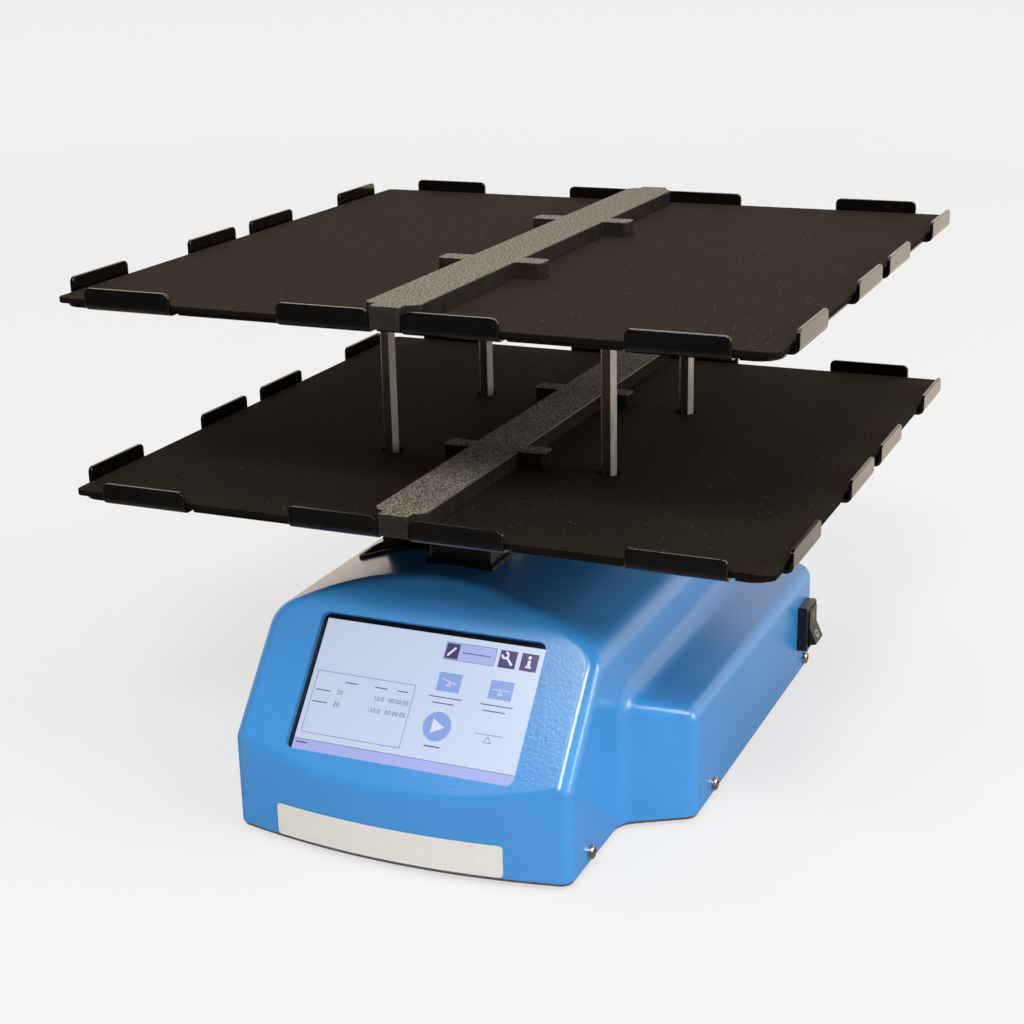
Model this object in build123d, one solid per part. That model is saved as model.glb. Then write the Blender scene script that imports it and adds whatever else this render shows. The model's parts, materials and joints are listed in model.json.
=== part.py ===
from build123d import *
from math import acos, cos, pi, radians, sin, sqrt, tan
import os

# Rocker shaker with two stacked trays that tip about one shaft. Millimetres, +Z up, front
# towards -Y, origin on the bench under the middle of the outline.

# moulded housing
body_width = 146.4
wing_width = 200.0
housing_length = 260.0
front_y = -155.3
bow_depth = 8.6
housing_top = 102.5
shoulder_top = 83.4
crease_height = 33.5
panel_lean = 40.0
wall = 2.5
wing_front = -92.7
wing_rake = 31.0
shelf_inner = 57.5
shelf_outer = 50.3
corner_round = 6.0
shoulder_round = 12.0
crease_round = 6.0
wing_round = 7.0
valley_round = 11.0
rear_round = 4.0

# base plate, feet and the screws round the rim
foot_height = 2.5
foot_radius = 8.0
plate_sheet = 1.5
rim_inset = 0.8
flange_height = 10.0
flange_width = 14.0
rim_screw_height = 8.0
rim_screw_rows = ((0, -126.2), (1, -53.1), (1, 90.9))
screw_head_radius = 3.0
screw_head_height = 2.0
screw_radius = 1.5
screw_length = 8.0
play = 0.05

# trays, mats and divider bars
tray_y = 7.7
tray_width = 300.0
tray_depth = 296.0
tray_base = 131.5
tier_pitch = 79.65
sheet = 1.5
tab_height = 9.0
tab_width = 38.4
tab_places = (-111.7, -26.0, 26.0, 111.7)
bend_radius = 3.0
edge_inset = 4.0
tray_corner = 9.0
tab_corner = 2.5
notch_width = 1.6
notch_depth = 2.2
mat_thickness = 2.3
mat_corner = 3.5
mat_hole_radius = 4.8
mat_gap = 0.1
bar_width = 22.5
bar_length = 286.0
bar_height = 6.6
tongue_width = 12.5
bar_chamfer = 3.0
arm_width = 10.0
arm_span = 46.0
arm_corner = 2.0
bar_gap = 0.3
post_spacing = 100.0
post_flats = 6.0
post_thread_depth = 9.0

# rocking shaft, its blocks and what it carries
axis_height = 116.0
shaft_radius = 4.0
bearing_radius = 8.0
bearing_width = 5.0
block_front = -90.0
block_depth = 15.0
block_half = 14.0
block_head_drop = 4.0
block_face_wall = 2.5
block_flange = 1.6
block_seat = 94.0
tongue_depth = 9.0
tongue_length = 26.0
carrier_sheet = 4.0
carrier_length = 146.0
carrier_width = 122.0
carrier_corner = 8.0
carrier_window = 34.0
hub_offset = 47.5
hub_depth = 15.0
hub_half = 13.0
hub_screw_x = 8.5
collar_radius = 8.0
collar_width = 7.0
collar_gap = 0.3

# toothed sector, pinion and motor
gear_module = 1.0
pinion_teeth = 16
full_teeth = 128
sector_teeth = 15
mesh_angle = 12.0
tooth_play = 0.14
sector_front = -66.0
sector_thickness = 8.0
sector_rim = 8.0
sector_arm_outer = 48.0
sector_arm_inner = 28.0
sector_taper = 28.0
sector_web = 5.0
slot_left = -57.0
slot_right = -19.0
slot_front = -71.5
slot_back = -52.5
slot_corner = 4.0
grommet_lip = 1.4
grommet_wall = 1.0
motor_size = 42.3
motor_length = 48.0
motor_front = -50.0
motor_hole_pitch = 31.0
motor_shaft_radius = 2.5
motor_boss_radius = 11.0
motor_chamfer = 4.5
bracket_sheet = 3.0
bracket_width = 50.0
bracket_foot = 34.0
pinion_width = 10.0

# uprights inside the housing
upright_sheet = 6.0
upright_half_top = 16.0
upright_half_foot = 30.0
upright_foot = 16.0

# screen, label plate, switch, inlet and board
screen_along = 39.9
screen_x = 0.8
window_width = 99.0
window_height = 58.0
window_corner = 3.5
glass_width = 105.5
glass_height = 62.0
glass_thickness = 1.4
module_thickness = 3.2
board_thickness = 1.6
clamp_sheet = 1.5
clamp_margin = 8.0
clamp_hole = 1.1
clamp_head_radius = 2.0
clamp_head_height = 1.4
boss_radius = 3.2
label_width = 99.0
label_height = 13.5
label_base = 4.5
label_thickness = 0.4
label_bond = 0.15
label_x = -2.1
label_corner = 1.6
switch_y = 85.5
switch_z = 27.4
bezel_height = 22.0
bezel_width = 17.0
bezel_proud = 4.8
well_height = 19.4
well_width = 12.6
neck_depth = 20.0
paddle_half = 8.5
paddle_width = 12.0
paddle_tilt = 12.0
paddle_pivot_depth = 2.6
paddle_pin_radius = 1.0
jack_x = -60.0
jack_z = 25.0
jack_radius = 6.0
jack_flange_radius = 7.5
jack_depth = 14.0
board_x = 54.0
board_y = 28.0
board_width = 62.0
board_length = 84.0
standoff_height = 8.0
standoff_radius = 3.0

housing_base = foot_height + plate_sheet
rear_y = front_y + housing_length
half_body = body_width / 2
half_wing = wing_width / 2
axis_z = axis_height
front_slope = Plane(
    origin=(0, front_y, crease_height),
    x_dir=(1, 0, 0),
    z_dir=(0, -cos(radians(panel_lean)), sin(radians(panel_lean))),
)
standing = (Align.CENTER, Align.CENTER, Align.MIN)
hanging = (Align.CENTER, Align.CENTER, Align.MAX)
parts = {}


def sagitta_radius(half, rise):
    return (half**2 + rise**2) / (2 * rise)


def near(value, target, reach=0.6):
    return abs(value - target) < reach


def upright_edge(edge):
    return near(abs(edge.tangent_at(0.5).Z), 1, 0.01)


def cylinder_y(radius, y_front, y_back, x=0.0, z=0.0):
    face = Plane.XZ.offset(-y_back) * Pos(x, z) * Circle(radius)
    return extrude(face, y_back - y_front)


def slab(sketch, y_front, y_back):
    return extrude(Plane.XZ.offset(-y_back) * sketch, y_back - y_front)


def box_between(x1, x2, y1, y2, z1, z2):
    middle = Pos((x1 + x2) / 2, (y1 + y2) / 2, (z1 + z2) / 2)
    return middle * Box(x2 - x1, y2 - y1, z2 - z1)


def rounded_plate(width, depth, corner, z, thickness):
    return extrude(Pos(0, 0, z) * RectangleRounded(width, depth, corner), thickness)


def main_form(inset, bottom, round_off=True):
    half = half_body - inset
    rear = rear_y - inset
    bow = sagitta_radius(half_body, bow_depth)
    corner_y = front_y + bow - sqrt((bow - inset) ** 2 - half**2)
    arch = sagitta_radius(half_body, housing_top - shoulder_top)
    shoulder = housing_top - arch + sqrt((arch - inset) ** 2 - half**2)
    plan = ThreePointArc((-half, corner_y), (0, front_y + inset), (half, corner_y))
    plan += Polyline((half, corner_y), (half, rear), (-half, rear), (-half, corner_y))
    section = ThreePointArc((-half, shoulder), (0, housing_top - inset), (half, shoulder))
    section += Polyline((half, shoulder), (half, bottom), (-half, bottom), (-half, shoulder))
    section = make_face(section)
    shoulders = [v for v in section.vertices() if v.Y > bottom + 1]
    section = fillet(shoulders, shoulder_round - inset)
    body = extrude(Pos(0, 0, bottom) * make_face(plan), housing_top)
    body &= slab(section, front_y - wall, rear_y + wall)
    body -= front_slope * Pos(0, 0, housing_top - inset) * Box(2 * wing_width, 500, 2 * housing_top)
    if not round_off:
        return body
    front = [e for e in body.edges() if bottom + 1 < e.center().Z and e.center().Y < 0]
    front = [e for e in front if not near(abs(e.tangent_at(0.5).Y), 1, 0.01)]
    front = [e for e in front if not near(e.center().Z, crease_height, 1)]
    body = fillet(front, corner_round - inset)
    crease = [e for e in body.edges() if near(e.center().Z, crease_height, 3) and e.center().Y < 0]
    return fillet(crease, crease_round - inset)


def wing_form(inset, bottom):
    outer = half_wing - inset
    run = tan(radians(wing_rake))
    front_shift = inset / cos(radians(wing_rake))

    def front_at(x):
        return wing_front + (x - half_body) * run + front_shift

    rear = rear_y - inset
    inner = half_body - 3 * corner_round
    plan = Polyline(
        (inner, front_at(inner)), (outer, front_at(outer)), (outer, rear), (inner, rear), close=True
    )
    fall = (shelf_inner - shelf_outer) / (half_wing - half_body)

    def shelf_at(x):
        return shelf_inner - (x - half_body) * fall - inset

    section = Polyline(
        (inner, bottom), (outer, bottom), (outer, shelf_at(outer)), (inner, shelf_at(inner)), close=True
    )
    wing = extrude(Pos(0, 0, bottom) * make_face(plan), housing_top)
    wing &= slab(make_face(section), front_y, rear_y + wall)
    corners = [e for e in wing.edges() if near(e.center().X, outer) and upright_edge(e)]
    rims = [e for e in wing.edges() if near(e.center().X, outer) and e.center().Z > shelf_outer - 6]
    rims = [e for e in rims if not upright_edge(e)]
    fronts = [e for e in wing.edges() if e.center().Z > shelf_outer - 6]
    fronts = [e for e in fronts if inner + 5 < e.center().X < outer - 5 and e.center().Y < rear - 20]
    return fillet(corners + rims + fronts, wing_round - inset)


def housing_form(inset, bottom):
    wing = wing_form(inset, bottom)
    body = main_form(inset, bottom) + wing + mirror(wing, about=Plane.YZ)
    half = half_body - inset
    seam = [e for e in body.edges() if near(abs(e.center().X), half, 0.3)]
    seam = [e for e in seam if e.center().Y > wing_front - 1]
    seam = [e for e in seam if bottom + 1 < e.center().Z < shelf_inner + 1]
    body = fillet(seam, valley_round + inset)
    back = [e for e in body.edges() if near(e.center().Y, rear_y - inset, 0.05)]
    back = [e for e in back if e.center().Z > bottom + 1]
    return fillet(back, rear_round - inset)


def half_turn(shape):
    return Pos(0, 2 * tray_y, 0) * Rot(0, 0, 180) * shape


def rim_places():
    for on_wing, y in rim_screw_rows:
        reach = half_wing if on_wing else half_body
        for side in (-1, 1):
            yield side, reach, y


def pan_screw(length, head_radius=screw_head_radius, head_height=screw_head_height):
    head = Cylinder(head_radius, head_height, align=standing)
    head = chamfer(head.edges().sort_by(Axis.Z)[-1], head_height * 0.4)
    shank = Cylinder(screw_radius, length, align=hanging)
    return head + shank


def sunk_screw(length, radius=screw_radius, head_radius=screw_head_radius):
    cone = head_radius - radius
    head = Pos(0, 0, -cone / 2) * Cone(radius, head_radius, cone)
    return head + Cylinder(radius, length, align=hanging)


def place_list(spots, shape):
    return Compound(children=[Pos(*spot) * shape for spot in spots])


def square_spots(pitch, z):
    return [(x, tray_y + y, z) for x in (-pitch / 2, pitch / 2) for y in (-pitch / 2, pitch / 2)]


def make_housing():
    shell = housing_form(0, housing_base) - housing_form(wall, housing_base - wall)
    window = front_slope * Pos(screen_x, screen_along, -wall) * RectangleRounded(
        window_width, window_height, window_corner
    )
    shell -= extrude(window, 3 * wall, both=True)
    block = box_between(
        -block_half - 0.3, block_half + 0.3,
        tray_y + block_front - 0.3, tray_y + block_front + block_depth + 0.3,
        block_seat - 5, housing_top + 5,
    )
    shell -= block
    shell -= half_turn(block)
    shell -= slot_solid(0, block_seat - 20, housing_top + 5)
    for side, reach, y in rim_places():
        shell -= Pos(side * reach, y, rim_screw_height) * Rot(0, 90, 0) * Cylinder(
            screw_radius + play, 4 * wall
        )
    neck = Pos(half_wing, switch_y, switch_z) * Box(4 * wall, well_width + 0.6, well_height + 0.6)
    shell -= neck
    shell -= cylinder_y(jack_radius + play, rear_y - 2 * wall, rear_y + wall, jack_x, jack_z)
    for boss in clamp_spots():
        shell += front_slope * Pos(boss[0], boss[1], 0) * make_boss()
    return shell


def clamp_spots():
    across = (glass_width + clamp_margin) / 2
    along = (glass_height - clamp_margin) / 2 - 3
    for x in (-across, across):
        for y in (-along, along):
            yield screen_x + x, screen_along + y


def stack_depth():
    return wall + glass_thickness + module_thickness + board_thickness


def make_boss():
    post = Cylinder(boss_radius, stack_depth() - wall, align=hanging)
    hole = Cylinder(clamp_hole, stack_depth(), align=hanging)
    return Pos(0, 0, -wall) * (post - Pos(0, 0, -1) * hole)


def slot_solid(margin, z1, z2):
    width = slot_right - slot_left - 2 * margin
    depth = slot_back - slot_front - 2 * margin
    face = RectangleRounded(width, depth, slot_corner - margin)
    centre = Pos((slot_left + slot_right) / 2, tray_y + (slot_front + slot_back) / 2, z1)
    return extrude(centre * face, z2 - z1)


def make_grommet():
    lip = slot_solid(-grommet_lip, block_seat - 20, housing_top + 5)
    lip &= main_form(-grommet_lip, 0, False) - main_form(0, 0, False)
    under = slot_solid(-grommet_lip, block_seat - 20, housing_top + 5)
    under &= main_form(wall, 0, False) - main_form(wall + grommet_lip, 0, False)
    throat = slot_solid(play, block_seat - 20, housing_top + 5)
    throat &= main_form(-grommet_lip, 0, False) - main_form(wall + grommet_lip, 0, False)
    return lip + under + throat - slot_solid(grommet_wall, block_seat - 30, housing_top + 10)


def rim_section(z):
    solid = housing_form(rim_inset, housing_base - wall)
    cut = section(solid, section_by=Plane.XY.offset(housing_base + 1))
    return Pos(0, 0, z - housing_base - 1) * cut


def make_base_plate():
    plate = extrude(rim_section(foot_height), plate_sheet)
    for side, reach, y in rim_places():
        outer = side * (reach - wall - play)
        x1, x2 = sorted((outer, outer - side * plate_sheet))
        flange = box_between(
            x1, x2, y - flange_width / 2, y + flange_width / 2,
            foot_height, housing_base + flange_height,
        )
        tops = [e for e in flange.edges() if near(abs(e.tangent_at(0.5).X), 1, 0.01)]
        tops = [e for e in tops if e.center().Z > housing_base]
        plate += fillet(tops, 2.5)
        plate -= Pos(side * reach, y, rim_screw_height) * Rot(0, 90, 0) * Cylinder(
            screw_radius + play, 6 * wall
        )
    uprights, brackets = foot_screw_spots()
    for x, y in uprights + brackets:
        plate -= Pos(x, y, foot_height) * Cylinder(screw_radius + play, 10)
    return plate


def make_feet():
    pad = Cylinder(foot_radius, foot_height, align=standing)
    pad = chamfer(pad.edges().sort_by(Axis.Z)[0], 0.6)
    front = [(side * (half_body - 15), front_y + 25, 0) for side in (-1, 1)]
    back = [(side * (half_wing - 15), rear_y - 15, 0) for side in (-1, 1)]
    return place_list(front + back, pad)


def make_rim_screws():
    screws = []
    for side, reach, y in rim_places():
        screws.append(
            Pos(side * reach, y, rim_screw_height) * Rot(0, 90 * side, 0) * pan_screw(screw_length)
        )
    return Compound(children=screws)


def tab_profile():
    inner = bend_radius - sheet
    outer_arc = CenterArc((-bend_radius, bend_radius), bend_radius, 270, 90)
    inner_arc = CenterArc((-bend_radius, bend_radius), inner, 270, 90)
    root = -edge_inset - 1
    lines = outer_arc + inner_arc
    lines += Polyline((0, bend_radius), (0, tab_height), (-sheet, tab_height), (-sheet, bend_radius))
    lines += Polyline((-bend_radius, sheet), (root, sheet), (root, 0), (-bend_radius, 0))
    return make_face(lines)


def make_tab(width):
    tab = extrude(Plane.XZ * tab_profile(), width / 2, both=True)
    tops = [e for e in tab.edges() if near(e.center().Z, tab_height, 0.1)]
    tops = [e for e in tops if near(abs(e.tangent_at(0.5).X), 1, 0.01)]
    return fillet(tops, tab_corner)


def make_tray(base):
    width = tray_width - 2 * edge_inset
    depth = tray_depth - 2 * edge_inset
    tray = rounded_plate(width, depth, tray_corner, 0, sheet)
    tab = make_tab(tab_width)
    notch = Box(2 * (edge_inset + notch_depth), notch_width, 4 * sheet)
    for turn, reach in ((0, tray_width), (90, tray_depth), (180, tray_width), (270, tray_depth)):
        for place in tab_places:
            spot = Rot(0, 0, turn) * Pos(reach / 2, place, 0)
            tray += spot * tab
            for side in (-1, 1):
                shift = side * (tab_width + notch_width) / 2
                tray -= spot * Pos(0, shift, 0) * notch
    return Pos(0, tray_y, base) * tray


def bar_solid(gap, bottom, height):
    body = Box(bar_width + 2 * gap, bar_length + 2 * gap, height, align=standing)
    body = chamfer([e for e in body.edges() if upright_edge(e)], bar_chamfer)
    body += Box(tongue_width + 2 * gap, tray_depth + 2 * gap, height, align=standing)
    for y in (-post_spacing / 2, post_spacing / 2):
        arm = RectangleRounded(arm_span + 2 * gap, arm_width + 2 * gap, arm_corner + gap)
        body += extrude(Pos(0, y) * arm, height)
    return Pos(0, tray_y, bottom) * body


def make_mat(base):
    slack = 2 * (bend_radius + mat_gap)
    mat = rounded_plate(
        tray_width - slack, tray_depth - slack, mat_corner, base + sheet, mat_thickness
    )
    return Pos(0, tray_y, 0) * mat - bar_solid(bar_gap, base, bar_height)


def make_bar(base):
    return bar_solid(0, base + sheet, mat_thickness + bar_height)


def make_posts():
    bottom = tray_base + sheet
    length = tier_pitch - sheet
    post = extrude(RegularPolygon(post_flats / 2, 6, major_radius=False), length)
    hole = Cylinder(screw_radius + play, post_thread_depth, align=standing)
    post -= hole
    post -= Pos(0, 0, length - post_thread_depth) * hole
    return place_list(square_spots(post_spacing, bottom), post)


def post_holes(plate, radius):
    for x, y, _ in square_spots(post_spacing, 0):
        plate -= Pos(x, y, tray_base) * Cylinder(radius, 300)
    return plate


def make_upper_tray():
    tray = make_tray(tray_base + tier_pitch)
    top = tray_base + tier_pitch + sheet
    for spot in square_spots(post_spacing, top):
        cone = screw_head_radius - screw_radius
        tray -= Pos(*spot) * Pos(0, 0, -cone / 2) * Cone(screw_radius + play, screw_head_radius + play, cone)
    return post_holes(tray, screw_radius + play)


def make_carrier():
    bottom = tray_base - carrier_sheet
    plate = rounded_plate(carrier_width, carrier_length, carrier_corner, bottom, carrier_sheet)
    for side in (-1, 1):
        window = Pos(side * (hub_half + carrier_window / 2 + 5), 0, bottom) * RectangleRounded(
            carrier_window * 0.8, 60, 5
        )
        plate -= extrude(window, carrier_sheet)
    plate = Pos(0, tray_y, 0) * plate
    plate = post_holes(plate, screw_radius + play)
    for x, y in hub_screw_spots() + sector_screw_spots():
        plate -= Pos(x, y, tray_base - carrier_sheet / 2) * Cylinder(screw_radius + play, carrier_sheet)
        cone = screw_head_radius - screw_radius
        plate -= Pos(x, y, tray_base - cone / 2) * Cone(
            screw_radius + play, screw_head_radius + play, cone
        )
    return plate


def hub_screw_spots():
    return [(x, tray_y + y) for x in (-hub_screw_x, hub_screw_x) for y in (-hub_offset, hub_offset)]


def sector_screw_spots():
    middle = (sector_arm_outer + sector_arm_inner) / 2
    y = tray_y + sector_front + sector_thickness / 2
    return [(-middle - 5, y), (-middle + 5, y)]


def make_hubs():
    top = tray_base - carrier_sheet
    hubs = []
    for y in (-hub_offset, hub_offset):
        y1, y2 = tray_y + y - hub_depth / 2, tray_y + y + hub_depth / 2
        profile = Pos(0, axis_z) * Circle(hub_half - 3)
        profile += Pos(0, (axis_z + top) / 2) * Rectangle(2 * hub_half, top - axis_z)
        hub = slab(profile, y1, y2)
        hub -= cylinder_y(shaft_radius + play / 2, y1, y2, 0, axis_z)
        for x in (-hub_screw_x, hub_screw_x):
            hub -= Pos(x, (y1 + y2) / 2, top - 4) * Cylinder(screw_radius + play, 8)
        hubs.append(hub)
    return Compound(children=hubs)


def shaft_end():
    return -block_front - block_face_wall - 0.5


def make_shaft():
    shaft = cylinder_y(shaft_radius, tray_y - shaft_end(), tray_y + shaft_end(), 0, axis_z)
    return chamfer(shaft.edges().filter_by(GeomType.CIRCLE), 0.5)


def make_bearings():
    bearings = []
    inner = -block_front - block_depth + 0.5
    for side in (-1, 1):
        ends = sorted((tray_y + side * inner, tray_y + side * (inner + bearing_width)))
        ring = cylinder_y(bearing_radius, *ends, 0, axis_z)
        ring -= cylinder_y(shaft_radius + play / 2, *ends, 0, axis_z)
        bearings.append(ring)
    return Compound(children=bearings)


def make_collars():
    collars = []
    inner = -block_front - block_depth - collar_gap - collar_width
    for side in (-1, 1):
        ends = sorted((tray_y + side * inner, tray_y + side * (inner + collar_width)))
        ring = cylinder_y(collar_radius, *ends, 0, axis_z)
        ring -= cylinder_y(shaft_radius + play / 2, *ends, 0, axis_z)
        collars.append(chamfer(ring.edges().filter_by(GeomType.CIRCLE), 0.4))
    return Compound(children=collars)


def make_block():
    y1 = tray_y + block_front
    y2 = y1 + block_depth
    head_z = axis_z - block_head_drop
    profile = Pos(0, head_z) * Circle(block_half)
    profile += Pos(0, (head_z + block_seat) / 2) * Rectangle(2 * block_half, head_z - block_seat)
    block = slab(profile, y1, y2)
    front = [e for e in block.edges() if near(e.center().Y, y1, 0.1) and e.center().Z > block_seat + 1]
    block = fillet(front, 1.5)
    tongue = box_between(
        -block_half, block_half, y1, y1 + tongue_depth, block_seat - tongue_length, block_seat
    )
    flange = box_between(
        -block_half - block_flange, block_half + block_flange,
        y1 - block_flange, y2 + block_flange, housing_top - 2, housing_top + 1.4,
    )
    flange = fillet([e for e in flange.edges() if upright_edge(e)], 1.2)
    block += tongue
    block += flange - main_form(-play, 0, False)
    block -= cylinder_y(shaft_radius + 0.6, y1 + block_face_wall, y2 + 1, 0, axis_z)
    block -= cylinder_y(bearing_radius + play / 2, y2 - bearing_width - 1, y2 + 1, 0, axis_z)
    for x, z in pivot_screw_spots():
        block -= cylinder_y(screw_radius + play, y1 - 1, y1 + tongue_depth + 1, x, z)
    return block


def pivot_screw_spots():
    middle = block_seat - tongue_length / 2
    return [(-7, middle), (7, middle)]


def make_upright():
    y1 = tray_y + block_front + tongue_depth
    y2 = y1 + upright_sheet
    profile = make_face(
        Polyline(
            (-upright_half_foot, housing_base), (upright_half_foot, housing_base),
            (upright_half_top, block_seat), (-upright_half_top, block_seat), close=True,
        )
    )
    profile -= Pos(0, (housing_base + block_seat) / 2 - 10) * SlotOverall(30, 20, rotation=90)
    upright = slab(profile, y1, y2)
    upright += box_between(
        -upright_half_foot, upright_half_foot, y2 - upright_foot, y2,
        housing_base, housing_base + upright_sheet,
    )
    for x, z in pivot_screw_spots():
        upright -= cylinder_y(screw_radius + play, y1 - 1, y2 + 1, x, z)
    for x in (-upright_half_foot + 7, upright_half_foot - 7):
        upright -= Pos(x, y2 - upright_foot + 6, housing_base) * Cylinder(screw_radius + play, 30)
    return upright


def make_pivot_screws():
    y1 = tray_y + block_front
    turn = Rot(90, 0, 0)
    length = tongue_depth + upright_sheet
    front = [Pos(x, y1, z) * turn * pan_screw(length) for x, z in pivot_screw_spots()]
    return Compound(children=front + [half_turn(s) for s in front])


def foot_screw_spots():
    y = tray_y + block_front + tongue_depth + upright_sheet - upright_foot + 6
    front = [(x, y) for x in (-upright_half_foot + 7, upright_half_foot - 7)]
    back = [(-x, 2 * tray_y - y) for x, y in front]
    foot_y = tray_y + motor_front - bracket_sheet + bracket_foot - 6
    motor_x, _ = motor_centre()
    bracket = [(motor_x + x, foot_y) for x in (-bracket_width / 2 + 9, bracket_width / 2 - 9)]
    return front + back, bracket


def make_frame_screws():
    uprights, brackets = foot_screw_spots()
    screws = [
        Pos(x, y, housing_base + upright_sheet) * pan_screw(upright_sheet + plate_sheet)
        for x, y in uprights
    ]
    screws += [
        Pos(x, y, housing_base + bracket_sheet) * pan_screw(bracket_sheet + plate_sheet)
        for x, y in brackets
    ]
    return Compound(children=screws)


def motor_centre():
    reach = gear_module * (full_teeth + pinion_teeth) / 2
    return -reach * sin(radians(mesh_angle)), axis_z - reach * cos(radians(mesh_angle))


def involute(angle):
    return sin(angle) / cos(angle) - angle


def tooth_half_angle(radius, teeth):
    pitch = gear_module * teeth / 2
    base = pitch * cos(radians(20))
    if radius <= base:
        radius = base
    flank = involute(acos(base / radius))
    return pi / (2 * teeth) - tooth_play / (2 * pitch) + involute(radians(20)) - flank


def tooth_points(teeth, middle):
    pitch = gear_module * teeth / 2
    root, tip = pitch - 1.25 * gear_module, pitch + gear_module
    radii = [root, pitch - 0.45 * gear_module, pitch + 0.25 * gear_module, tip]
    rising = [(r, middle - tooth_half_angle(r, teeth)) for r in radii]
    falling = [(r, middle + tooth_half_angle(r, teeth)) for r in reversed(radii)]
    return [(r * cos(a), r * sin(a)) for r, a in rising + falling]


def gear_outline(teeth, middles):
    points = []
    for middle in middles:
        points += tooth_points(teeth, middle)
    return points


def make_pinion():
    x, z = motor_centre()
    facing = pi / 2 - radians(mesh_angle)
    middles = [facing + 2 * pi * (k + 0.5) / pinion_teeth for k in range(pinion_teeth)]
    outline = make_face(Polyline(*gear_outline(pinion_teeth, middles), close=True))
    middle = tray_y + sector_front + sector_thickness / 2
    y1, y2 = middle - pinion_width / 2, middle + pinion_width / 2
    pinion = slab(Pos(x, z) * outline, y1, y2)
    pinion -= cylinder_y(motor_shaft_radius + play / 2, y1, y2, x, z)
    return pinion


def polar(radius, angle):
    return radius * cos(angle), radius * sin(angle)


def make_sector():
    top = tray_base - carrier_sheet - axis_z
    middle = -pi / 2 - radians(mesh_angle)
    step = 2 * pi / full_teeth
    half_count = (sector_teeth - 1) // 2
    middles = [middle + step * k for k in range(-half_count, half_count + 1)]
    root = gear_module * full_teeth / 2 - 1.25 * gear_module
    inner = root - sector_rim
    left, right = middles[0] - 0.6 * step, middles[-1] + 0.6 * step
    web = middle - radians(sector_web)
    outline = Polyline(
        polar(inner, web), (-sector_arm_inner, -sector_taper), (-sector_arm_inner, top),
        (-sector_arm_outer, top), (-sector_arm_outer, -sector_taper), polar(root, left),
        *gear_outline(full_teeth, middles), polar(root, right), polar(inner, right),
    )
    between = polar(inner, (web + right) / 2)
    outline += ThreePointArc(polar(inner, right), between, polar(inner, web))
    y1 = tray_y + sector_front
    sector = slab(Pos(0, axis_z) * make_face(outline), y1, y1 + sector_thickness)
    window = Pos(-(sector_arm_outer + sector_arm_inner) / 2 + 2, axis_z - sector_taper - 4)
    window *= SlotOverall(22, 7, rotation=105)
    sector -= slab(window, y1 - 1, y1 + sector_thickness + 1)
    for x, y in sector_screw_spots():
        sector -= Pos(x, y, axis_z + top - 5) * Cylinder(screw_radius + play, 10)
    return sector


def motor_screw_spots():
    x, z = motor_centre()
    half = motor_hole_pitch / 2
    return [(x + i * half, z + j * half) for i in (-1, 1) for j in (-1, 1)]


def make_motor():
    x, z = motor_centre()
    y1 = tray_y + motor_front
    face = Pos(x, z) * Rectangle(motor_size, motor_size)
    motor = slab(face, y1, y1 + motor_length)
    motor = chamfer([e for e in motor.edges() if near(abs(e.tangent_at(0.5).Y), 1, 0.01)], motor_chamfer)
    motor += cylinder_y(motor_boss_radius, y1 - 2, y1, x, z)
    motor -= cylinder_y(motor_shaft_radius + play, y1 - 3, y1 + 10, x, z)
    band = Pos(x, z) * Rectangle(motor_size + 1, motor_size + 1)
    band -= Pos(x, z) * Rectangle(motor_size - 1.2, motor_size - 1.2)
    motor -= slab(band, y1 + 9, y1 + motor_length - 11)
    for sx, sz in motor_screw_spots():
        motor -= cylinder_y(screw_radius + play, y1 - 1, y1 + 5.2, sx, sz)
    return motor


def make_motor_shaft():
    x, z = motor_centre()
    y1 = tray_y + sector_front - 2.5
    return cylinder_y(motor_shaft_radius, y1, tray_y + motor_front + 9, x, z)


def make_bracket():
    x, z = motor_centre()
    y2 = tray_y + motor_front
    y1 = y2 - bracket_sheet
    half = bracket_width / 2
    top = z + motor_size / 2 + 1
    plate = box_between(x - half, x + half, y1, y2, housing_base, top)
    plate += box_between(
        x - half, x + half, y1, y1 + bracket_foot, housing_base, housing_base + bracket_sheet
    )
    for side in (-1, 1):
        x1, x2 = sorted((x + side * half, x + side * (half - bracket_sheet)))
        gusset = Plane.YZ.offset(x1) * make_face(
            Polyline(
                (y1, housing_base), (y1 + bracket_foot, housing_base),
                (y1 + bracket_foot, housing_base + 8), (y2 + 2, top), (y1, top), close=True,
            )
        )
        plate += extrude(gusset, x2 - x1)
    plate -= cylinder_y(motor_boss_radius + 0.2, y1 - 1, y2 + 1, x, z)
    for sx, sz in motor_screw_spots():
        plate -= cylinder_y(screw_radius + play, y1 - 1, y2 + 1, sx, sz)
    for sx, sy in foot_screw_spots()[1]:
        plate -= Pos(sx, sy, housing_base) * Cylinder(screw_radius + play, 30)
    return plate


def make_motor_screws():
    y1 = tray_y + motor_front - bracket_sheet
    turn = Rot(90, 0, 0)
    length = bracket_sheet + 5
    return Compound(children=[Pos(x, y1, z) * turn * pan_screw(length) for x, z in motor_screw_spots()])


def on_screen(depth, width, height, thickness, corner=1.0):
    face = front_slope * Pos(screen_x, screen_along, -depth - thickness) * RectangleRounded(
        width, height, corner
    )
    return extrude(face, thickness)


def make_clamp():
    depth = stack_depth()
    width = glass_width + 2 * clamp_margin
    clamp = on_screen(depth, width, glass_height - 2, clamp_sheet, 3)
    clamp -= on_screen(depth, glass_width - 16, glass_height - 22, clamp_sheet, 3)
    for x, y in clamp_spots():
        clamp -= front_slope * Pos(x, y, -depth) * Cylinder(clamp_hole + play, 4 * clamp_sheet)
    return clamp


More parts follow.
